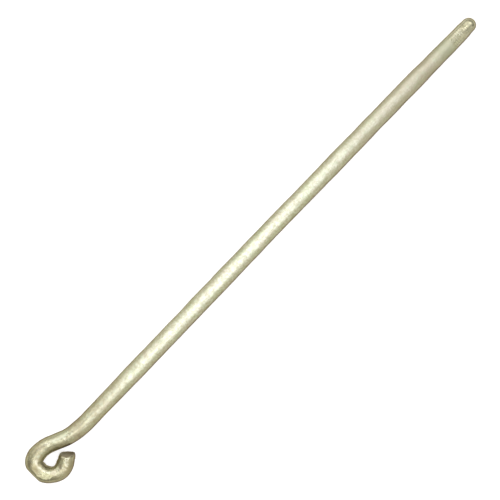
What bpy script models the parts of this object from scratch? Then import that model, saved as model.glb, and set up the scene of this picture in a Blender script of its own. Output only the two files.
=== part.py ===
"""Hive tool: one round steel bar, bent at one end into an open eye and turned down to a domed tip at the other.

Run with: blender --background --python part.py

Frame, in metres with +Z up: the bar lies flat on Z = 0, its straight shank along X, with the tip at +X and
the eye at -X. The origin is the middle of the tool's box, on the surface that it rests on.
"""

import math

import bmesh
import bpy
from mathutils import Vector

# Driving dimensions, in metres and degrees. A bend's radius is that of the bar's inner side.
OVERALL_LENGTH = 0.283
BAR_DIAMETER = 0.008
EYE_BAR_DIAMETER = 0.0075

SETBACK_RADIUS = 0.034
SETBACK_ANGLE = 24.4
NECK_LENGTH = 0.0023

THROAT_RADIUS = 0.0164
THROAT_ANGLE = 24.0
HEEL_RADIUS = 0.0011
HEEL_ANGLE = 86.6
BOWL_RADIUS = 0.0048
BOWL_ANGLE = 78.4
HOOK_RADIUS = 0.0012
HOOK_ANGLE = 45.0
END_LENGTH = 0.0047
END_SLANT = 20.0
END_ROUNDING = 0.0005

TIP_LENGTH = 0.027
TIP_DIAMETER = 0.0073
SHOULDER_LENGTH = 0.008
NOSE_DIAMETER = 0.0065
NOSE_TAPER_LENGTH = 0.0042

# How finely the round surfaces are divided.
BAR_SIDES = 32
BEND_STEP = 5.0
DOME_STEPS = 6
SHARP_ANGLE = 35.0
MERGE_DISTANCE = 0.000001

BAR_RADIUS = BAR_DIAMETER / 2
EYE_BAR_RADIUS = EYE_BAR_DIAMETER / 2
FLAT_SIDE_SHARE = math.cos(math.pi / BAR_SIDES)
LEFT_TURN = 1
RIGHT_TURN = -1

STEEL_COLOUR = (0.62, 0.58, 0.40, 1.0)
STEEL_ROUGHNESS = 0.33


class Route:
    """The bar's centre line, walked from the shank's end round the eye to the cut end, with its radius there.

    The shank's axis is at height 0. Where the bar is thinner its centre line is lower, so that the whole
    underside stays in one plane.
    """

    def __init__(self):
        self.heading = math.pi
        self.bar_radius = BAR_RADIUS
        self.stations = []
        self.add(Vector((0.0, 0.0)))

    def add(self, place):
        self.place = place
        height = (self.bar_radius - BAR_RADIUS) * FLAT_SIDE_SHARE
        self.stations.append((Vector((place.x, place.y, height)), self.bar_radius))

    def direction(self):
        return Vector((math.cos(self.heading), math.sin(self.heading)))

    def straight(self, length):
        self.add(self.place + length * self.direction())

    def bend(self, inner_radius, angle, turn, last_bar_radius):
        """Follow an arc in steps of BEND_STEP degrees or less, while the bar's radius changes evenly."""
        first_bar_radius = self.bar_radius
        radius = inner_radius + first_bar_radius
        steps = math.ceil(angle / BEND_STEP)
        across = Vector((-math.sin(self.heading), math.cos(self.heading)))
        centre = self.place + turn * radius * across
        first_around = self.heading - turn * math.pi / 2
        for step in range(1, steps + 1):
            share = step / steps
            around = first_around + turn * math.radians(angle) * share
            self.bar_radius = first_bar_radius + (last_bar_radius - first_bar_radius) * share
            self.add(centre + radius * Vector((math.cos(around), math.sin(around))))
        self.heading += turn * math.radians(angle)


def eye_route():
    """The bends in the order in which they are made: a set-back that centres the eye on the shank, then the eye.

    The set-back is where the bar starts to be drawn thinner.
    """
    route = Route()
    route.bend(SETBACK_RADIUS, SETBACK_ANGLE, RIGHT_TURN, EYE_BAR_RADIUS)
    route.straight(NECK_LENGTH)
    for radius, angle in (
        (THROAT_RADIUS, THROAT_ANGLE),
        (HEEL_RADIUS, HEEL_ANGLE),
        (BOWL_RADIUS, BOWL_ANGLE),
        (HOOK_RADIUS, HOOK_ANGLE),
    ):
        route.bend(radius, angle, LEFT_TURN, EYE_BAR_RADIUS)
    route.straight(END_LENGTH)
    return route


def tip_sections():
    """Distances back from the tip with the bar's radius there: a domed nose, a slight taper and a shoulder."""
    nose_radius = NOSE_DIAMETER / 2
    sections = []
    for step in range(DOME_STEPS):
        around = math.radians(90.0) * (DOME_STEPS - step - 0.5) / DOME_STEPS
        sections.append((nose_radius * (1 - math.sin(around)), nose_radius * math.cos(around)))
    first_back = sections[0][0]
    sections = [(back - first_back, radius) for back, radius in sections]
    sections.append((nose_radius, nose_radius))
    sections.append((nose_radius + NOSE_TAPER_LENGTH, TIP_DIAMETER / 2))
    sections.append((TIP_LENGTH, TIP_DIAMETER / 2))
    sections.append((TIP_LENGTH + SHOULDER_LENGTH, BAR_RADIUS))
    return sections


def bar_stations(route):
    """The whole centre line's points, from tip to cut end, with the bar's radius at each."""
    eye_reach = max(radius - place.x for place, radius in route.stations)
    shank_length = OVERALL_LENGTH - eye_reach
    tip = [(Vector((shank_length - back, 0.0, 0.0)), radius) for back, radius in tip_sections()]
    return tip + route.stations


def bar_curve(stations):
    """A poly curve with a round bevel, turned half a side so that a flat one lies underneath."""
    curve = bpy.data.curves.new("eye_rod_curve", "CURVE")
    curve.dimensions = "3D"
    curve.twist_mode = "Z_UP"
    curve.bevel_depth = BAR_RADIUS
    curve.bevel_resolution = (BAR_SIDES - 4) // 2
    curve.use_fill_caps = True
    spline = curve.splines.new("POLY")
    spline.points.add(len(stations) - 1)
    for spline_point, (place, radius) in zip(spline.points, stations):
        spline_point.co = (*place, 1.0)
        spline_point.radius = radius / BAR_RADIUS
        spline_point.tilt = math.pi / BAR_SIDES
    curve_object = bpy.data.objects.new("eye_rod_curve", curve)
    bpy.context.scene.collection.objects.link(curve_object)
    return curve_object


def mesh_from_curve(curve_object, name):
    """The curve's evaluated surface as a closed mesh, with its caps joined on, and the curve removed."""
    bpy.context.view_layer.update()
    evaluated = curve_object.evaluated_get(bpy.context.evaluated_depsgraph_get())
    mesh = bpy.data.meshes.new_from_object(evaluated)
    mesh.name = name
    surface = bmesh.new()
    surface.from_mesh(mesh)
    bmesh.ops.remove_doubles(surface, verts=surface.verts, dist=MERGE_DISTANCE)
    surface.to_mesh(mesh)
    surface.free()
    bpy.data.objects.remove(curve_object)
    return mesh


def slant_cut_end(mesh, route):
    """Slide the end face's corners along the bar, so that the face leans back and shows from above."""
    end = route.stations[-1][0]
    direction = route.direction().to_3d()
    for vertex in mesh.vertices:
        offset = vertex.co - end
        if offset.length < BAR_DIAMETER and abs(offset.dot(direction)) < MERGE_DISTANCE:
            vertex.co -= direction * offset.z * math.tan(math.radians(END_SLANT))


def steel_material():
    material = bpy.data.materials.new("plated_steel")
    material.use_nodes = True
    shader = material.node_tree.nodes["Principled BSDF"]
    shader.inputs["Base Color"].default_value = STEEL_COLOUR
    shader.inputs["Roughness"].default_value = STEEL_ROUGHNESS
    shader.inputs["Metallic"].default_value = 1.0
    return material


def round_cut_end(rod):
    """A small radius on the cut end's rim, the only edge that is sharper than SHARP_ANGLE."""
    bevel = rod.modifiers.new("rim_rounding", "BEVEL")
    bevel.width = END_ROUNDING
    bevel.segments = 2
    bevel.limit_method = "ANGLE"
    bevel.angle_limit = math.radians(SHARP_ANGLE)


def make_eye_rod(collection):
    route = eye_route()
    mesh = mesh_from_curve(bar_curve(bar_stations(route)), "eye_rod")
    slant_cut_end(mesh, route)
    mesh.shade_smooth()
    mesh.set_sharp_from_angle(angle=math.radians(SHARP_ANGLE))
    mesh.materials.append(steel_material())

    rod = bpy.data.objects.new("eye_rod", mesh)
    lowest = [min(vertex.co[axis] for vertex in mesh.vertices) for axis in range(3)]
    highest = [max(vertex.co[axis] for vertex in mesh.vertices) for axis in range(3)]
    rod.location = (-(lowest[0] + highest[0]) / 2, -(lowest[1] + highest[1]) / 2, -lowest[2])
    collection.objects.link(rod)
    round_cut_end(rod)


def main():
    for old in list(bpy.data.objects):
        bpy.data.objects.remove(old)
    collection = bpy.data.collections.new("hive_tool")
    bpy.context.scene.collection.children.link(collection)
    make_eye_rod(collection)


main()
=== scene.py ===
# %% [markdown]
# # A bent steel rod with an open eye
#
# The object is one length of round steel bar about 8 mm thick. One end is turned down a little and
# rounded off. The other end was bent cold round a post into a small open eye, and cut off on a slant.
# After that the whole rod was zinc plated, which left a soft, pale golden shine.
#
# This notebook builds that rod as one surface. A profile is carried along the bar's middle line, its
# width follows what pulling and bending did to the steel, and every mark on it is real relief.

# %% The frame that the rod has to fit
import math

import bpy
import numpy as np
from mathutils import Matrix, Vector


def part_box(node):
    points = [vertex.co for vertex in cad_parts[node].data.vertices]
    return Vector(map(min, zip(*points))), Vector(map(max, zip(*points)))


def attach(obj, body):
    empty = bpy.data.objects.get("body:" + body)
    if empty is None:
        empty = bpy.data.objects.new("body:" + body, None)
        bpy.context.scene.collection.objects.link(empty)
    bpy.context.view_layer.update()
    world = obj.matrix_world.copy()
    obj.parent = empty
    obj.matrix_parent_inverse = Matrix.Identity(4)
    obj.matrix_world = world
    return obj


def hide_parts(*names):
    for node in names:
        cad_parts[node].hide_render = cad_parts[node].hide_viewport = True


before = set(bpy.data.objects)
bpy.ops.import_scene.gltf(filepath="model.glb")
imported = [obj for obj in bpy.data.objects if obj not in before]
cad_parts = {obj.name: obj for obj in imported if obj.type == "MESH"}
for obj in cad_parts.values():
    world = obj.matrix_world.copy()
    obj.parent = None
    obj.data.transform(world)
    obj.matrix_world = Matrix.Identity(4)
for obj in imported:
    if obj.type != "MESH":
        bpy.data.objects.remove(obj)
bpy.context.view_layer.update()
rod_low, rod_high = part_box("eye_rod")
MM = 0.001
print("rod box in mm:", [round(v / MM, 2) for v in (*rod_low, *rod_high)])

# %% [markdown]
# ## The camera
#
# A rod is long and thin, and a near camera would make one end look thicker than the other. A long
# lens 1.2 m up, looking straight down, shows hardly any perspective. The camera is turned about the
# vertical, so that the rod runs from the lower left to the upper right and fills the square frame
# from corner to corner. Its place is over the middle of the rod.

# %% Place the camera
TURN = math.radians(46.07)
CAMERA_HEIGHT = 1.2
FIELD_WIDTH = 222.85 * MM
SENSOR_WIDTH = 36.0
FRAME_MIDDLE = (-1.63 * MM, 1.03 * MM)

camera_data = bpy.data.cameras.new("camera")
camera_data.sensor_width = SENSOR_WIDTH
camera_data.lens = SENSOR_WIDTH * CAMERA_HEIGHT / FIELD_WIDTH
camera = bpy.data.objects.new("camera", camera_data)
camera.location = (*FRAME_MIDDLE, CAMERA_HEIGHT + rod_high.z / 2)
camera.rotation_euler = (0.0, 0.0, -TURN)
bpy.context.collection.objects.link(camera)
bpy.context.scene.camera = camera
print("lens:", round(camera_data.lens, 1), "mm")

# %% [markdown]
# ## The bar's middle line
#
# A bender does not think in coordinates but in bends: so much length, turned through so many degrees.
# The line starts at the rounded tip, runs straight, steps aside through the set-back and then curls
# round throat, heel, bowl and hook. Steel does not change its curve at once, so each bend fades into
# the next over about a millimetre. Adding up the curve gives the heading, and adding up the heading
# gives the places.

# %% Walk the middle line
STRAIGHT_LENGTH = 248.34 * MM
LINE_Y = 0.40 * MM
BEND_FADE = 1.1 * MM
LINE_STEP = 0.05 * MM
LINE_SPARE = 4.0 * MM
BENDS = (
    # name, length in millimetres, turn to the left in degrees
    ("set-back", 15.6, -24.5),
    ("neck", 3.8, 1.5),
    ("throat", 8.0, 27.1),
    ("heel", 6.8, 80.9),
    ("bowl", 11.6, 78.6),
    ("hook", 4.1, 48.1),
    ("end", 8.0, 2.0),
)
# the bar is cut off inside the last bend, a little before it is complete
BENT_LENGTH = 55.8 * MM
END_PLACE = STRAIGHT_LENGTH + BENT_LENGTH


def soft_step(distance, fade):
    """Half of one plus the hyperbolic tangent of distance over fade: 0 well before, 1 well after."""
    return 0.5 * (1.0 + np.tanh(distance / fade))


def walk_line():
    """Curvature is each bend's angle over its length, switched on and off softly; heading is pi plus
    its running sum, and the place is the start plus the running sum of (cos, sin) of the heading."""
    place = np.arange(0.0, END_PLACE + LINE_SPARE, LINE_STEP)
    curve = np.zeros_like(place)
    start = STRAIGHT_LENGTH
    for _, length, angle in BENDS:
        end = start + length * MM
        inside = soft_step(place - start, BEND_FADE) - soft_step(place - end, BEND_FADE)
        curve += math.radians(angle) / (end - start) * inside
        start = end
    heading = math.pi + np.cumsum(curve) * LINE_STEP
    x = rod_high.x + np.cumsum(np.cos(heading)) * LINE_STEP
    y = LINE_Y + np.cumsum(np.sin(heading)) * LINE_STEP
    return place, x, y, heading


line_place, line_x, line_y, line_heading = walk_line()
print("turned in the eye:", round(math.degrees(line_heading[-1] - line_heading.min())), "degrees")

# %% [markdown]
# ## How wide and how high the bar is
#
# A bar that is forced round a tight bend is no longer round: it is pinched where it was gripped and
# swells where it was squeezed. The sheet below says, every so often along the bar, how wide it is and
# how far its middle lies to the left of the line. Between two stations the values ease over, so
# the bar swells and narrows without a corner. In the eye the bar is a little lower than it is wide.

# %% Widths along the bar
STATIONS = np.array((
    # place, width, middle's way to the left, all in millimetres
    (3.0, 6.50, 0.03),
    (8.0, 7.20, 0.05),
    (27.0, 7.50, -0.07),
    (37.0, 7.95, -0.20),
    (64.0, 7.90, -0.26),
    (91.0, 8.18, -0.28),
    (103.0, 7.92, -0.28),
    (125.0, 7.97, -0.41),
    (168.0, 8.20, -0.24),
    (192.0, 8.08, -0.12),
    (217.0, 8.18, -0.06),
    (236.0, 7.78, 0.02),
    (252.0, 7.76, 0.10),
    (259.0, 7.54, 0.32),
    (266.0, 7.34, 0.22),
    (272.0, 7.50, 0.16),
    (276.3, 8.06, 0.27),
    (280.0, 8.10, 0.10),
    (283.3, 8.10, 0.38),
    (287.0, 7.98, 0.04),
    (291.3, 7.28, 0.06),
    (296.0, 7.78, 0.40),
    (299.3, 8.02, 0.34),
    (302.6, 7.40, 0.25),
)) * MM
EYE_HEIGHT = 7.6 * MM
SETTLE_START = STRAIGHT_LENGTH - 10 * MM
SETTLE_END = STRAIGHT_LENGTH + 20 * MM


def ease(value):
    """Three times the square less twice the cube of the value held between 0 and 1."""
    value = np.clip(value, 0.0, 1.0)
    return value * value * (3.0 - 2.0 * value)


def between(place, stations, values):
    """The values of the two stations about each place, mixed by ease() of the way between them."""
    after = np.clip(np.searchsorted(stations, place), 1, len(stations) - 1)
    start, end = stations[after - 1], stations[after]
    mix = ease((place - start) / (end - start))
    return values[after - 1] + mix * (values[after] - values[after - 1])


def bar_size(place):
    """Width, height, the middle's way to the left and its height over the floor at each place."""
    width = between(place, STATIONS[:, 0], STATIONS[:, 1])
    left = between(place, STATIONS[:, 0], STATIONS[:, 2])
    bent = ease((place - SETTLE_START) / (SETTLE_END - SETTLE_START))
    height = np.minimum(width, rod_high.z) * (1.0 - bent) + EYE_HEIGHT * bent
    middle = rod_high.z / 2 * (1.0 - bent) + EYE_HEIGHT / 2 * bent
    return width, height, left, middle


in_bends = STATIONS[:, 0] > STRAIGHT_LENGTH
print("widest:", round(STATIONS[:, 1].max() / MM, 2), "mm, narrowest in the eye:",
      round(STATIONS[in_bends, 1].min() / MM, 2), "mm")

# %% [markdown]
# ## Where the rings of the surface lie
#
# The surface is made of rings, one behind the other. Fine detail needs them close together, plain bar
# does not. The tip's first rings follow a quarter circle, which makes the dome. At the other end the
# last rings turn a small rounded edge and then shrink over the cut face to its middle. Each ring
# has a place along the bar and a fullness, which is 1 on the bar and 0 at the two end points.

# %% Rings from the tip to the cut
DOME_RADIUS = 3.25 * MM
DOME_RINGS = 24
RIM_RADIUS = 0.55 * MM
RIM_RINGS = 7
FACE_RINGS = 16
SPACING = np.array((
    # place, distance to the next ring, both in millimetres
    (0.0, 0.11),
    (13.0, 0.13),
    (17.0, 0.62),
    (240.0, 0.62),
    (252.0, 0.30),
    (288.0, 0.23),
    (293.0, 0.11),
    (303.0, 0.10),
)) * MM


def body_places(start, end):
    """Places whose distance follows SPACING: the running sum of step over spacing, read backwards."""
    fine = np.arange(start, end, LINE_STEP)
    rings_so_far = np.cumsum(LINE_STEP / np.interp(fine, SPACING[:, 0], SPACING[:, 1]))
    wanted = np.linspace(rings_so_far[0], rings_so_far[-1], int(rings_so_far[-1]))
    return np.interp(wanted, rings_so_far, fine)


def ring_schedule():
    """Place and fullness of every ring: quarter circle, bar, rounded rim, flat face."""
    dome_angle = np.linspace(0.0, math.pi / 2, DOME_RINGS)[1:]
    dome_place = DOME_RADIUS * (1.0 - np.cos(dome_angle))
    body = body_places(DOME_RADIUS + SPACING[0, 1], END_PLACE - RIM_RADIUS)
    rim_angle = np.linspace(0.0, math.pi / 2, RIM_RINGS)[1:]
    rim_place = END_PLACE - RIM_RADIUS * (1.0 - np.sin(rim_angle))
    half_end = STATIONS[-1, 1] / 2
    rim_fullness = 1.0 - RIM_RADIUS / half_end * (1.0 - np.cos(rim_angle))
    face_fullness = rim_fullness[-1] * np.linspace(1.0, 0.0, FACE_RINGS + 1)[1:-1]
    place = np.concatenate((dome_place, body, rim_place, np.full(FACE_RINGS - 1, END_PLACE)))
    fullness = np.concatenate((np.sin(dome_angle), np.ones_like(body), rim_fullness, face_fullness))
    return place, fullness


ring_place, ring_fullness = ring_schedule()
SIDES = 108
around = np.arange(SIDES) / SIDES * 2 * math.pi - math.pi / 2
print("rings:", len(ring_place), "triangles:", 2 * SIDES * len(ring_place))

# %% [markdown]
# ## A slow ripple
#
# Drawn bar is never quite even, and a mirror that is not quite even bends what it reflects. The
# ripple is a sum of waves that run along and round the bar. It could be a bump in the material, but
# then the outline would stay too straight, so it moves the surface itself. The seed makes it the
# same each time.

# %% Ripple
RIPPLE_WAVES = 26
RIPPLE_SLOPE = 0.0045
RIPPLE_LENGTHS = (3.5 * MM, 22.0 * MM)
RIPPLE_SEED = 11
random = np.random.default_rng(RIPPLE_SEED)


def ripple(place, angle):
    """A sum of waves along and round the bar; each has the same slope, so long ones are higher."""
    low, high = np.log(RIPPLE_LENGTHS)
    total = 0.0
    for _ in range(RIPPLE_WAVES):
        length = math.exp(random.uniform(low, high))
        turns = int(random.integers(-3, 4))
        phase = random.uniform(0.0, 2 * math.pi)
        height = RIPPLE_SLOPE * length / (2 * math.pi)
        total = total + height * np.sin(2 * math.pi * place / length + turns * angle + phase)
    return total


print("highest ripple, a wave:", round(RIPPLE_SLOPE * RIPPLE_LENGTHS[1] / (2 * math.pi) / MM, 3), "mm")

# %% [markdown]
# ## Rings left by the lathe
#
# The tip was turned down on a lathe. A turning tool cuts a very shallow screw, which looks like a row
# of rings. A raised cosine gives them soft ridges, as they are after plating.

# %% Turned rings
RING_START = 3.7 * MM
RING_END = 13.2 * MM
RING_PITCH = 1.1 * MM
RING_DEPTH = 0.026 * MM
RING_FADE = 0.5 * MM


def turned_rings(place):
    """A raised cosine repeated at the feed of the tool, faded in and out at both ends."""
    shown = soft_step(place - RING_START, RING_FADE) - soft_step(place - RING_END, RING_FADE)
    wave = 0.5 - 0.5 * np.cos(2 * math.pi * (place - RING_START) / RING_PITCH)
    return -RING_DEPTH * shown * wave


print("turned rings:", round((RING_END - RING_START) / RING_PITCH, 1))

# %% [markdown]
# ## Dents and creases
#
# Pliers gripped the end of the eye and left a row of tooth marks. Where the inside of a bend was
# squeezed there is a crease, and the corners of the cut were pushed out a little. Each is a bell
# curve in the bar's radius, at a place along it and an angle round it.

# %% Dents
BAR_RADIUS = rod_high.z / 2
END_FADE_POWER = 4
DENTS = (
    # place before the end, angle round (0 inside, 90 on top), length, width, depth; mm and degrees
    (2.5, 100, 0.34, 1.50, 0.11),
    (3.8, 104, 0.30, 1.40, 0.10),
    (5.0, 112, 0.32, 1.30, 0.09),
    (6.9, 118, 0.36, 1.50, 0.08),
    (1.3, 96, 0.45, 0.45, 0.16),
    (0.9, 172, 0.50, 0.60, -0.20),
    (0.8, 12, 0.60, 0.80, -0.12),
    (21.0, 150, 0.50, 2.20, 0.10),
    (11.5, 10, 0.90, 2.60, 0.08),
    (44.0, 165, 1.00, 1.80, 0.10),
    (14.6, 140, 2.20, 1.20, 0.06),
    (17.6, 120, 1.80, 1.60, 0.05),
    (32.5, 96, 1.60, 1.80, 0.04),
)


def dent(place, angle, mark_place, mark_angle, along, across, depth):
    """Depth times a bell curve that is `along` long and `across` wide; minus depth is a bump."""
    turned = np.angle(np.exp(1j * (angle - math.radians(mark_angle))))
    away = ((place - mark_place) / along) ** 2 + (turned * BAR_RADIUS / across) ** 2
    return -depth * np.exp(-away)


def relief(place, angle, fullness):
    """Ripple, turned rings and dents added up, times a power of fullness, so that they fade out on
    the dome and on the cut face."""
    total = ripple(place, angle) + turned_rings(place)
    for before_end, mark_angle, along, across, depth in DENTS:
        mark_place = END_PLACE - before_end * MM
        total = total + dent(place, angle, mark_place, mark_angle, along * MM, across * MM, depth * MM)
    return total * fullness ** END_FADE_POWER


print("dents:", len(DENTS))

# %% [markdown]
# ## The surface
#
# On each ring a point at an angle round the bar lies that far to the left and up from the middle line.
# Near the cut the rings lean over until the last one lies in the slanted plane that the shears
# left: the top of the bar is shorter than its underside. Two flats that a hammer left, one outside
# the heel and one on top of it, are pressed in last, by moving what stands proud of a plane back to it.

# %% Carry the profile along the line
CUT_SLANT = math.tan(math.radians(31.0))
CUT_SKEW = math.tan(math.radians(11.0))
CUT_BLEND = 0.5 * MM
CORNER_DROP = 1.3 * MM
CORNER_POWER = 8
CUT_REACH = 6.0 * MM
FRACTURE_DEPTH = 0.09 * MM
FRACTURE_ONSET = 6.0
BROAD_BUMPS = (0.55 * MM, 0.70 * MM)
FINE_BUMPS = (0.21 * MM, 0.40 * MM, 0.24 * MM)
BROAD_SHARE = 0.6
FLAT_SOFTNESS = 0.10
FLATS = (
    # a point that the flat goes through, in millimetres, and the way it faces
    ((-141.1, 1.0, 4.0), (-1.0, 0.02, 0.12)),
    ((-138.0, 0.5, 7.25), (-0.24, -0.05, 1.0)),
)


def fracture(left, up):
    """Low bumps over the torn part of the cut face: products of sines of both coordinates."""
    broad = np.sin(left / BROAD_BUMPS[0] + 1.3) * np.sin(up / BROAD_BUMPS[1] + 0.4)
    fine = np.sin(left / FINE_BUMPS[0] + up / FINE_BUMPS[1]) * np.sin(up / FINE_BUMPS[2])
    return FRACTURE_DEPTH * (BROAD_SHARE * broad + (1.0 - BROAD_SHARE) * fine)


def bar_surface(place, fullness, angle):
    """Point = middle line + left * sideways + up. Left and up are half the width and height times
    fullness and cosine or sine of the angle; near the cut the place slides by slant and skew."""
    width, height, shift, middle = bar_size(place)
    bump = relief(place, angle, fullness)
    left = (width / 2 * fullness + bump) * np.cos(angle)
    up = (height / 2 * fullness + bump) * np.sin(angle)
    on_face = ease((1.0 - fullness) * FRACTURE_ONSET) * (place > DOME_RADIUS)
    above = CUT_BLEND * np.logaddexp(0.0, up / CUT_BLEND)
    corner = CORNER_DROP * (2 * left / width) ** CORNER_POWER
    near_cut = ease((place - END_PLACE + CUT_REACH) / CUT_REACH)
    slide = -near_cut * (above * CUT_SLANT + left * CUT_SKEW + corner)
    slid = place + slide + on_face * fracture(left, up)
    x = np.interp(slid, line_place, line_x)
    y = np.interp(slid, line_place, line_y)
    heading = np.interp(slid, line_place, line_heading)
    sideways = left + shift
    return np.stack((x - sideways * np.sin(heading), y + sideways * np.cos(heading), middle + up), -1)


def press_flat(points, through, facing):
    """Moves points back along the plane's facing by soft * log(1 + exp(how proud / soft))."""
    soft = FLAT_SOFTNESS * MM
    facing = np.array(facing) / np.linalg.norm(facing)
    proud = (points - np.array(through) * MM) @ facing / soft
    return points - (soft * np.logaddexp(0.0, proud))[..., None] * facing


ring_points = bar_surface(ring_place[:, None], ring_fullness[:, None], around[None, :])
for through, facing in FLATS:
    ring_points = press_flat(ring_points, through, facing)
tip_point = bar_surface(np.zeros((1, 1)), np.zeros((1, 1)), np.zeros((1, 1)))[0]
end_point = bar_surface(np.full((1, 1), END_PLACE), np.zeros((1, 1)), np.zeros((1, 1)))[0]
print("surface runs from", ring_points.min((0, 1)) / MM, "to", ring_points.max((0, 1)) / MM)

# %% [markdown]
# ## From points to a mesh
#
# Four-sided faces join each ring to the next, and a fan of triangles closes each end. The mesh also
# gets a map of the bar laid out flat, in metres along and round it, because the fine lines left
# by drawing run along the bar and have to follow it round the eye.

# %% Faces and the laid-out map
GIRTH = 2 * math.pi * BAR_RADIUS
ring_length = np.hypot(np.diff(ring_place), np.diff(ring_fullness) * BAR_RADIUS)
map_along = np.concatenate(([0.0], np.cumsum(ring_length))) + RIM_RADIUS
map_round = np.arange(SIDES + 1) / SIDES * GIRTH


def map_corner(along, rounded):
    """One corner of every triangle of a fan: the same place along, each its own place round."""
    return np.stack((np.full(SIDES, along), rounded), -1)


def rod_faces(rings):
    """Corner numbers of the quads between rings and of the two fans, and each corner's map place."""
    ring, side = np.meshgrid(np.arange(rings - 1), np.arange(SIDES), indexing="ij")
    nearer, farther = ring * SIDES, (ring + 1) * SIDES
    across = (side + 1) % SIDES
    quads = np.stack((nearer + side, nearer + across, farther + across, farther + side), -1)
    along = map_along[np.stack((ring, ring, ring + 1, ring + 1), -1)]
    rounded = map_round[np.stack((side, side + 1, side + 1, side), -1)]
    side, across = np.arange(SIDES), (np.arange(SIDES) + 1) % SIDES
    last = (rings - 1) * SIDES
    tip_fan = np.stack((np.full(SIDES, rings * SIDES), across, side), -1)
    end_fan = np.stack((np.full(SIDES, rings * SIDES + 1), last + side, last + across), -1)
    start, end = map_along[0], map_along[-1]
    tip_map = np.stack((map_corner(0.0, map_round[:-1]),
                        map_corner(start, map_round[1:]),
                        map_corner(start, map_round[:-1])), 1)
    end_map = np.stack((map_corner(end + RIM_RADIUS, map_round[:-1]),
                        map_corner(end, map_round[:-1]),
                        map_corner(end, map_round[1:])), 1)
    quad_map = np.stack((along, rounded), -1).reshape(-1, 2)
    faces = quads.reshape(-1, 4).tolist() + tip_fan.tolist() + end_fan.tolist()
    corner_map = np.concatenate((quad_map, tip_map.reshape(-1, 2), end_map.reshape(-1, 2)))
    return faces, corner_map


faces, corner_map = rod_faces(len(ring_place))
print("faces:", len(faces), "corners on the map:", len(corner_map))

# %% [markdown]
# ## Where the steel has changed, and where light and shade are painted
#
# What happened to a place on the bar decides its colour and shine. The shears tore the end, the
# bending tools scuffed the eye and left it browner, and the lathe left the tip bright. Three values
# hold painted light and shade: the bent eye end is painted darker, as shade of its dimmer light, the
# low flanks are painted darker as shade, most on the near side, and the low inside of the eye is
# painted lighter against its shade. Each of these is a value from 0 to 1 at every point of the mesh,
# and the finish reads them all. They are bell curves and eased steps of the place, so that none of
# them ends in a line.

# %% Places of the marks
# how far a ring has shrunk, as a share of its full size
TORN_START, TORN_FADE = 0.05, 0.08
# places, lengths and heights, all in millimetres
RIM_BEFORE_END, RIM_WIDTH = 0.35, 0.45
FLAT_X, FLAT_WIDTH = -137.4, 1.6
FLAT_ABOVE, FLAT_FADE = 5.5, 1.5
TURNED_FADE = 4.0
STAIN_PLACE, STAIN_WIDTH = 18.0, 5.0
THROAT_MIDDLE, THROAT_SIZE = (-121.0, 5.0), (4.0, 3.0)
# the bent eye end is browner, and also painted darker as shade of its dimmer light
WORKED_AND_SHADE_BEFORE_BENDS, WORKED_AND_SHADE_FADE = 60.0, 85.0
DULLED_START, DULLED_FADE = 30.0, 95.0
EYE_MIDDLE, EYE_SIZE = (-130.6, -0.4), 7.0
# painted light: the low inside of the eye is lighter, against its shade
EYE_LIGHT_BELOW, EYE_LIGHT_FADE = 6.8, 2.5
# painted shade: the low flanks are darker, most on the near side
FLANK_SHADE_BELOW, FLANK_SHADE_FADE = 6.9, 2.4
NEAR_SIDE_FADE = 6.0


def bell(value, middle, width):
    """A bell curve: e to the power of minus the square of (value - middle) / width."""
    return np.exp(-((value - middle) / width) ** 2)


def eased(value, start, fade):
    """0 before the start, 1 after the fade, and ease() of the way between them."""
    return ease((value - start) / fade)


ring_x, ring_y, ring_z = (ring_points / MM).transpose(2, 0, 1)
along_bar = np.repeat(ring_place[:, None], SIDES, 1) / MM
shrunk = 1.0 - np.repeat(ring_fullness[:, None], SIDES, 1)
print("points on the rings:", along_bar.size)

# %% Values painted on the steel
RIM_RUBBED, FLAT_RUBBED, TURNED_RUBBED = 0.2, 0.3, 0.5
RINGS_STAINED, THROAT_STAINED = 0.7, 0.6
# browner bent steel and painted shade at the eye end
MOST_WORKED_AND_SHADE = 0.9
TURNED_CLEARED = 0.6
# share of the painted shade on the flanks that the far side gets
FAR_SIDE_SHADE = 0.35
# strength of the painted light inside the eye
EYE_LIGHT_GAIN = 1.8

torn = eased(shrunk, TORN_START, TORN_FADE) * (along_bar > DOME_RADIUS / MM)
turned = 1.0 - eased(along_bar, RING_END / MM, TURNED_FADE)
rim = bell(along_bar, END_PLACE / MM - RIM_BEFORE_END, RIM_WIDTH) * (1.0 - torn)
flat = bell(ring_x, FLAT_X, FLAT_WIDTH) * eased(ring_z, FLAT_ABOVE, FLAT_FADE)
behind_rings = bell(along_bar, STAIN_PLACE, STAIN_WIDTH)
throat = bell(ring_x, THROAT_MIDDLE[0], THROAT_SIZE[0]) * bell(ring_y, THROAT_MIDDLE[1], THROAT_SIZE[1])
in_eye = bell(ring_x, EYE_MIDDLE[0], EYE_SIZE) * bell(ring_y, EYE_MIDDLE[1], EYE_SIZE)
# where painted light lightens the inside of the eye: low down
low_eye_inside_light = ease((EYE_LIGHT_BELOW - ring_z) / EYE_LIGHT_FADE)
# where painted shade darkens the flanks: low down, and most on the near side
low_flank_shade = ease((FLANK_SHADE_BELOW - ring_z) / FLANK_SHADE_FADE)
near_side = ease(0.5 - (ring_y - ring_y.mean(1)[:, None]) / NEAR_SIDE_FADE)

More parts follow.
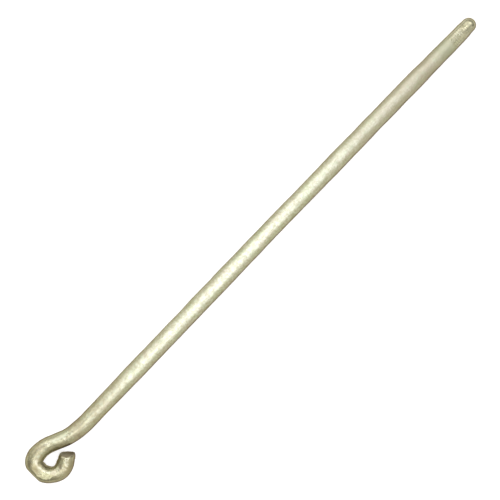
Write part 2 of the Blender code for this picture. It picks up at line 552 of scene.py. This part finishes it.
painted = {
    "torn": torn,
    "rubbed": np.clip(RIM_RUBBED * rim + FLAT_RUBBED * flat + TURNED_RUBBED * turned, 0.0, 1.0),
    "stained": np.clip(RINGS_STAINED * behind_rings + THROAT_STAINED * throat, 0.0, 1.0),
    # browner bent steel, and painted shade of the dimmer-lit eye end
    "worked_and_shade": MOST_WORKED_AND_SHADE * eased(along_bar, STRAIGHT_LENGTH / MM - WORKED_AND_SHADE_BEFORE_BENDS, WORKED_AND_SHADE_FADE),
    "dulled": (1.0 - eased(along_bar, DULLED_START, DULLED_FADE)) * (1.0 - TURNED_CLEARED * turned),
    "turned": turned,
    # painted shade: darker low on the flanks, most on the near side, not inside the eye
    "flank_shade": low_flank_shade * (FAR_SIDE_SHADE + (1.0 - FAR_SIDE_SHADE) * near_side) * (1.0 - in_eye),
    # painted light: lighter low on the inside of the eye
    "eye_inside_light": low_eye_inside_light * np.clip(EYE_LIGHT_GAIN * in_eye, 0.0, 1.0),
}
print("means:", {name: round(float(values.mean()), 3) for name, values in painted.items()})

# %% [markdown]
# ## One mesh
#
# The points, the faces, the map and the painted values come together in one mesh object. It stays at
# the origin, unturned and unscaled, so that patterns on object coordinates stay where they are.

# %% Make the rod
def make_rod():
    """One closed mesh object at the origin, smooth shaded, with its map and painted values."""
    points = np.concatenate((ring_points.reshape(-1, 3), tip_point, end_point))
    mesh = bpy.data.meshes.new("rod_bar")
    mesh.from_pydata(points.tolist(), [], faces)
    mesh.uv_layers.new(name="bar_map").data.foreach_set("uv", corner_map.ravel())
    for name, values in painted.items():
        at_the_ends = (values[0, 0], values[-1, 0])
        attribute = mesh.attributes.new(name, "FLOAT", "POINT")
        attribute.data.foreach_set("value", np.concatenate((values.ravel(), at_the_ends)))
    mesh.polygons.foreach_set("use_smooth", [True] * len(mesh.polygons))
    mesh.update()
    rod = bpy.data.objects.new("rod_bar", mesh)
    bpy.context.collection.objects.link(rod)
    return rod


rod = make_rod()
print("rod:", rod.name, "with", len(rod.data.vertices), "points")

# %% [markdown]
# ## Is it closed and the right way out?
#
# A closed surface whose faces point outwards has a positive volume: the sum, over its triangles, of
# the little pyramids between each triangle and the origin. A surface that is inside out gives a
# negative one.

# %% Measure the rod
rod.data.calc_loop_triangles()
triangles = np.empty(len(rod.data.loop_triangles) * 3, dtype=np.int32)
rod.data.loop_triangles.foreach_get("vertices", triangles)
places = np.empty(len(rod.data.vertices) * 3)
rod.data.vertices.foreach_get("co", places)
a, b, c = places.reshape(-1, 3)[triangles.reshape(-1, 3)].transpose(1, 0, 2)
volume = (a * np.cross(b, c)).sum() / 6
print("triangles:", len(rod.data.loop_triangles), "volume:", round(volume * 1e6, 2), "cubic cm")

# %% [markdown]
# ## Plated steel
#
# Bright zinc with a thin clear finish looks like pale gold that has lost some of its shine. It is a
# metal, so its colour is the colour of what it reflects. The finish is never even: it leans to green
# in one place and to a brownish pink a few millimetres on. A fine satin grain and the faint
# lines of drawing break up the highlight. Rubbed edges are brighter, and the sheared face is dull
# and brown because the plating is thin on torn steel. The tint at the rim is dark, because a rough
# plated bar sends back less light at a glancing angle than polished metal does.

# %% Colours of the finish
PALE_GOLD = (0.445, 0.443, 0.302)
GREEN_GOLD = (0.408, 0.426, 0.272)
PINK_GOLD = (0.444, 0.412, 0.292)
# rubbed and turned zinc, and also the painted light inside the eye
BRIGHT_ZINC_AND_LIGHT = (0.54, 0.51, 0.36)
STAIN_GREEN = (0.350, 0.370, 0.235)
TORN_BROWN = (0.440, 0.380, 0.265)
# brown of the grain and of bent steel, also the painted shade of the eye end
WORKED_AND_SHADE_BROWN = (0.280, 0.245, 0.132)
SCUFF_BROWN = (0.215, 0.175, 0.110)
TIP_GREY = (0.375, 0.343, 0.238)
# colour of the painted shade on the low flanks
FLANK_SHADE_BROWN = (0.145, 0.120, 0.072)
RIM_TINT = (0.18, 0.12, 0.04)
print("brightest tint:", BRIGHT_ZINC_AND_LIGHT, "darkest tint:", FLANK_SHADE_BROWN)

# %% [markdown]
# ## A helper for materials
#
# A Blender material is a web of nodes. Written out, each node takes three or four lines. This helper
# adds a node, joins its inputs and hands back its output, so that the finish reads like a recipe.
# A noise pattern hardly ever leaves the range from 0.3 to 0.7, so that range is stretched most often.

# %% The helper
PATTERN_RANGE = (0.3, 0.7)


class Shading:
    """A small helper that adds nodes to one material and joins them up."""

    def __init__(self, name):
        self.material = bpy.data.materials.new(name)
        self.material.use_nodes = True
        self.nodes = self.material.node_tree.nodes
        self.links = self.material.node_tree.links
        self.shader = self.nodes["Principled BSDF"]

    def put(self, node, socket, value):
        """Joins an output to a socket, or types a plain value into it."""
        target = node.inputs[socket]
        if isinstance(value, bpy.types.NodeSocket):
            self.links.new(value, target)
        elif isinstance(value, tuple) and len(value) == 3 and target.type == "RGBA":
            target.default_value = (*value, 1.0)
        else:
            target.default_value = value

    def noise(self, place, scale, detail=2.0, rough=0.5):
        """Soft cloudy pattern with `scale` clouds to the metre."""
        node = self.nodes.new("ShaderNodeTexNoise")
        self.put(node, "Vector", place)
        self.put(node, "Scale", scale)
        self.put(node, "Detail", detail)
        self.put(node, "Roughness", rough)
        return node.outputs["Fac"]

    def stretched(self, place, scale):
        """The same place with its axes stretched by `scale`."""
        node = self.nodes.new("ShaderNodeMapping")
        self.put(node, "Vector", place)
        self.put(node, "Scale", scale)
        return node.outputs["Vector"]

    def window(self, value, low, high, to_low=0.0, to_high=1.0):
        """Straight-line change of range, held at both ends."""
        node = self.nodes.new("ShaderNodeMapRange")
        for socket, setting in zip(("Value", "From Min", "From Max", "To Min", "To Max"),
                                   (value, low, high, to_low, to_high)):
            self.put(node, socket, setting)
        return node.outputs["Result"]

    def mix(self, amount, one, other):
        """One colour where the amount is 0 and the other where it is 1."""
        node = self.nodes.new("ShaderNodeMix")
        node.data_type = "RGBA"
        self.put(node, 0, amount)
        self.put(node, 6, one)
        self.put(node, 7, other)
        return node.outputs[2]

    def plus(self, one, other, how="ADD"):
        """Two numbers added, or put together in the way that `how` names."""
        node = self.nodes.new("ShaderNodeMath")
        node.operation = how
        self.put(node, 0, one)
        self.put(node, 1, other)
        return node.outputs[0]

    def times(self, one, other):
        """Two numbers multiplied."""
        return self.plus(one, other, "MULTIPLY")

    def patchy(self, amount, pattern, least, span=PATTERN_RANGE):
        """An amount times a pattern whose span is stretched to run from `least` to 1."""
        return self.times(amount, self.window(pattern, *span, least, 1.0))

    def painted(self, name):
        """A value that is painted on the mesh."""
        node = self.nodes.new("ShaderNodeAttribute")
        node.attribute_name = name
        return node.outputs["Fac"]

    def bump(self, height, depth, strength, before=None):
        """Small relief whose full height is `depth` metres, on top of the one before."""
        node = self.nodes.new("ShaderNodeBump")
        self.put(node, "Height", height)
        self.put(node, "Distance", depth)
        self.put(node, "Strength", strength)
        if before is not None:
            self.put(node, "Normal", before)
        return node.outputs["Normal"]


# %% [markdown]
# ## Colour of the steel
#
# The colour is built in layers, as a painter would: clouds of two golds first, then pink clouds and
# brown grain, and then each painted value lays its own tint over what is there. Three tints are
# painted light and shade: the bent eye end is darker as well as browner, the low flanks are darker,
# and the low inside of the eye is lighter. A painted value is always multiplied by a pattern, so
# that its patch is ragged and never looks airbrushed.

# %% Layers of colour
CLOUDS_PER_METRE = 165.0
PINK_CLOUDS_PER_METRE = 240.0
PINK_STRETCH = (1.0, 1.0, 1.4)
SCUFFS_PER_METRE = 380.0
SPOT_RANGE = (0.4, 0.6)
# where a pattern becomes a tint: from and to which value of the pattern, and the least and most tint
GOLD_WINDOW = (0.36, 0.52, 0.0, 1.0)
PINK_WINDOW = (0.52, 0.72, 0.0, 1.0)
BROWN_WINDOW = (0.42, 0.62, 0.0, 0.60)
SCUFF_WINDOW = (0.54, 0.68, 0.0, 0.70)
SPECK_WINDOW = (0.54, 0.68, 0.0, 0.55)


def steel_colour(make, where, clouds, grain, coarse_grain):
    """Green to pale gold by the clouds, then one tint after another mixed in by its amount."""
    on = {name: make.painted(name) for name in painted}
    pink_clouds = make.noise(make.stretched(where, PINK_STRETCH), PINK_CLOUDS_PER_METRE, 2.0)
    scuffs = make.window(make.noise(where, SCUFFS_PER_METRE, 3.0, 0.6), *SCUFF_WINDOW)
    layers = (
        (make.window(pink_clouds, *PINK_WINDOW), PINK_GOLD),
        (make.window(grain, *BROWN_WINDOW), WORKED_AND_SHADE_BROWN),
        # browner bent steel, and painted shade of the dimmer-lit eye end
        (make.patchy(on["worked_and_shade"], clouds, 0.4), WORKED_AND_SHADE_BROWN),
        (make.times(on["worked_and_shade"], scuffs), SCUFF_BROWN),
        (make.patchy(on["dulled"], clouds, 0.6), TIP_GREY),
        (make.patchy(on["stained"], grain, 0.5), STAIN_GREEN),
        (make.patchy(on["rubbed"], coarse_grain, 0.0, SPOT_RANGE), BRIGHT_ZINC_AND_LIGHT),
        (make.window(coarse_grain, *SPECK_WINDOW), STAIN_GREEN),
        (make.patchy(on["torn"], coarse_grain, 0.75), TORN_BROWN),
        # painted light on the low inside of the eye
        (make.patchy(on["eye_inside_light"], grain, 0.8), BRIGHT_ZINC_AND_LIGHT),
        # painted shade on the low flanks
        (make.patchy(on["flank_shade"], grain, 0.7), FLANK_SHADE_BROWN),
    )
    colour = make.mix(make.window(clouds, *GOLD_WINDOW), GREEN_GOLD, PALE_GOLD)
    for amount, tint in layers:
        colour = make.mix(amount, colour, tint)
    return colour


print("clouds of gold", round(1000 / CLOUDS_PER_METRE, 1), "mm across, pink ones",
      round(1000 / PINK_CLOUDS_PER_METRE, 1), "mm")

# %% [markdown]
# ## Shine and fine relief of the steel
#
# Roughness says how far a highlight spreads. Satin zinc lies near the middle of the scale: cloudy and
# grainy here, lower where tools or hands have smoothed it, and much higher on torn steel. The grain
# and the drawn lines are too fine for the mesh, so they are bump, with depths in real millimetres.

# %% Roughness and bump
CLOUDY_ROUGHNESS = (0.35, 0.43)
GRAINY_ROUGHNESS = (-0.04, 0.05)
ROUGHNESS_CHANGES = (("rubbed", -0.07), ("torn", 0.28), ("turned", -0.08), ("worked_and_shade", -0.10))
COARSE_GRAIN_DEPTH = 0.12 * MM
GRAIN_DEPTH = 0.14 * MM
DRAWN_DEPTH = 0.006 * MM
DRAWN_STRETCH = (45.0, 2600.0, 1.0)
RELIEF_LEFT_BY_LATHE = 0.2


def steel_roughness(make, clouds, grain):
    """Clouds plus a little grain plus, for each painted value, that value times its change."""
    cloudy = make.window(clouds, *PATTERN_RANGE, *CLOUDY_ROUGHNESS)
    grainy = make.window(grain, *PATTERN_RANGE, *GRAINY_ROUGHNESS)
    rough = make.plus(cloudy, grainy)
    for name, change in ROUGHNESS_CHANGES:
        rough = make.plus(rough, make.times(make.painted(name), change))
    return rough


def steel_relief(make, laid_out, grain, coarse_grain):
    """Three bumps on top of each other, all of them fainter where the lathe smoothed the bar."""
    drawn = make.noise(make.stretched(laid_out, DRAWN_STRETCH), 1.0, 2.0)
    smoothed = make.window(make.painted("turned"), 0.0, 1.0, 1.0, RELIEF_LEFT_BY_LATHE)
    relief = make.bump(coarse_grain, COARSE_GRAIN_DEPTH, smoothed)
    relief = make.bump(grain, GRAIN_DEPTH, smoothed, relief)
    return make.bump(drawn, DRAWN_DEPTH, smoothed, relief)


print("roughness before the changes:", round(CLOUDY_ROUGHNESS[0] + GRAINY_ROUGHNESS[0], 2), "to",
      round(CLOUDY_ROUGHNESS[1] + GRAINY_ROUGHNESS[1], 2))

# %% [markdown]
# ## The finished material
#
# Colour, roughness and relief share the same clouds and grain, so a dark speck is also a small pit.
# Metallic and the tint at the rim are the same all over, so they are set on the shader itself.

# %% Put the finish together
GRAINS_PER_METRE = 950.0
COARSE_GRAINS_PER_METRE = 520.0


def plated_steel():
    """Metal whose colour, roughness and small relief all vary over the bar."""
    make = Shading("plated_steel")
    where = make.nodes.new("ShaderNodeTexCoord").outputs["Object"]
    bar_map = make.nodes.new("ShaderNodeUVMap")
    bar_map.uv_map = "bar_map"
    clouds = make.noise(where, CLOUDS_PER_METRE, 3.0, 0.55)
    grain = make.noise(where, GRAINS_PER_METRE, 3.0, 0.7)
    coarse_grain = make.noise(where, COARSE_GRAINS_PER_METRE, 2.0, 0.6)
    colour = steel_colour(make, where, clouds, grain, coarse_grain)
    rough = steel_roughness(make, clouds, grain)
    normal = steel_relief(make, bar_map.outputs["UV"], grain, coarse_grain)

    make.put(make.shader, "Base Color", colour)
    make.put(make.shader, "Roughness", rough)
    make.put(make.shader, "Normal", normal)
    make.put(make.shader, "Metallic", 1.0)
    make.put(make.shader, "Specular Tint", RIM_TINT)
    return make.material


rod.data.materials.append(plated_steel())
print("finish nodes:", len(rod.data.materials[0].node_tree.nodes))

# %% [markdown]
# ## The table
#
# The rod lies on a plain white table. To look white beside bright metal, a table needs more light than
# the metal can take, so this one glows a little by itself. It lights the flanks of the bar from
# below, as a lit white ground does, and it hardly shows a shadow.

# %% Set the table
FLOOR_SIZE = 6.0
FLOOR_SHADE = (0.500, 0.495, 0.462)
FLOOR_SPECKLE = (0.4, 0.4, 0.4)
SPECKLES_PER_METRE = 60.0
MOST_SPECKLE = 0.02
FLOOR_ROUGHNESS = 0.9
FLOOR_GLOW = 0.60
GLOW_COLOUR = (1.0, 0.99, 0.965)


def add_floor():
    """One large square just under the rod."""
    half = FLOOR_SIZE / 2
    low = float(ring_points[..., 2].min())
    corners = [(-half, -half, low), (half, -half, low), (half, half, low), (-half, half, low)]
    mesh = bpy.data.meshes.new("floor")
    mesh.from_pydata(corners, [], [(0, 1, 2, 3)])
    make = Shading("floor")
    where = make.nodes.new("ShaderNodeTexCoord").outputs["Object"]
    speckle = make.window(make.noise(where, SPECKLES_PER_METRE), *PATTERN_RANGE, 0.0, MOST_SPECKLE)
    make.put(make.shader, "Base Color", make.mix(speckle, FLOOR_SHADE, FLOOR_SPECKLE))
    make.put(make.shader, "Emission Color", GLOW_COLOUR)
    make.put(make.shader, "Emission Strength", FLOOR_GLOW)
    make.put(make.shader, "Roughness", FLOOR_ROUGHNESS)
    mesh.materials.append(make.material)
    table = bpy.data.objects.new("floor", mesh)
    bpy.context.collection.objects.link(table)
    return table


floor = add_floor()
print("floor lies at", round(floor.data.vertices[0].co.z / MM, 3), "mm")

# %% [markdown]
# ## The light
#
# A metal bar shows what stands round it, so the lamps are placed as if they were painted on it. The
# long overhead softbox lies across the rod, over the eye's half, and makes the broad highlight that
# fades towards the tip. It is turned a little, so the highlight drifts to the far side on the
# way. Small softboxes give the neck, the eye and the tip their own highlights. Large dim panels to
# both sides fill the flanks, and the room round it all is pale.

# %% The lamps
SKY_BLUE = (0.94, 1.0, 1.40)
SOFT_WHITE = (1.0, 1.0, 1.04)
LAMP_WARM = (1.0, 0.985, 0.94)
SOFTBOXES = (
    # name, place, place it aims at, size along and across, brightness, colour, turn in degrees
    ("overhead_softbox", (-0.022, 0.010, 0.36), (-0.022, 0.010, 0.0), (0.220, 0.78), 3.0, SKY_BLUE, -7),
    ("neck_softbox", (-0.165, 0.000, 0.36), (-0.165, 0.000, 0.0), (0.13, 0.09), 3.0, SOFT_WHITE, 0),
    ("eye_softbox", (-0.350, -0.020, 0.34), (-0.130, 0.000, 0.0), (0.16, 0.24), 2.6, SOFT_WHITE, 0),
    ("tip_softbox", (0.400, 0.070, 0.40), (0.140, 0.000, 0.0), (0.44, 0.24), 2.5, SOFT_WHITE, 0),
    ("side_softbox", (-0.010, 0.60, 0.42), (-0.010, 0.0, 0.0), (0.36, 0.60), 1.0, SKY_BLUE, 0),
    ("side_panel", (0.05, 0.62, 0.43), (0.0, 0.0, 0.0), (1.2, 0.6), 1.1, LAMP_WARM, 0),
    ("fill_softbox", (-0.08, -0.58, 0.41), (-0.08, 0.0, 0.0), (0.9, 0.82), 0.78, LAMP_WARM, 0),
    ("ceiling", (0.05, 0.0, 0.9), (0.05, 0.0, 0.0), (1.2, 0.9), 0.50, LAMP_WARM, 0),
)
print("lamps:", len(SOFTBOXES))


# %% Hang the lamps
def add_softbox(name, place, aim, size, brightness, colour, turn):
    """An oval area light; its power is pi * area * the brightness that its face shines with."""
    light = bpy.data.lights.new(name, "AREA")
    light.shape = "ELLIPSE"
    light.size, light.size_y = size
    area = math.pi * size[0] * size[1] / 4
    light.energy = math.pi * area * brightness
    light.color = colour
    lamp = bpy.data.objects.new(name, light)
    lamp.location = place
    towards = Vector(aim) - Vector(place)
    lamp.rotation_euler = towards.to_track_quat("-Z", "Y").to_euler()
    lamp.rotation_euler.z += math.radians(turn)
    lamp.visible_camera = False
    bpy.context.collection.objects.link(lamp)


for softbox in SOFTBOXES:
    add_softbox(*softbox)

# %% [markdown]
# ## The room
#
# Between the lamps the bar mirrors the room, so the room is an even, pale, slightly warm white. The
# plain "Standard" view shows each brightness as it is, without the softening of a film look, so the
# white of the table stays white.

# %% The room round it
ROOM_COLOUR = (1.0, 0.985, 0.95, 1.0)
ROOM_LIGHT = 0.50

world = bpy.data.worlds.new("room")
world.use_nodes = True
background = world.node_tree.nodes["Background"]
background.inputs["Color"].default_value = ROOM_COLOUR
background.inputs["Strength"].default_value = ROOM_LIGHT
bpy.context.scene.world = world
bpy.context.scene.view_settings.view_transform = "Standard"
print("room light:", ROOM_LIGHT)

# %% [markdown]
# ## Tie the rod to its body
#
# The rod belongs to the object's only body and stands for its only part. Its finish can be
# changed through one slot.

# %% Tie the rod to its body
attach(rod, "root")
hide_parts("eye_rod")
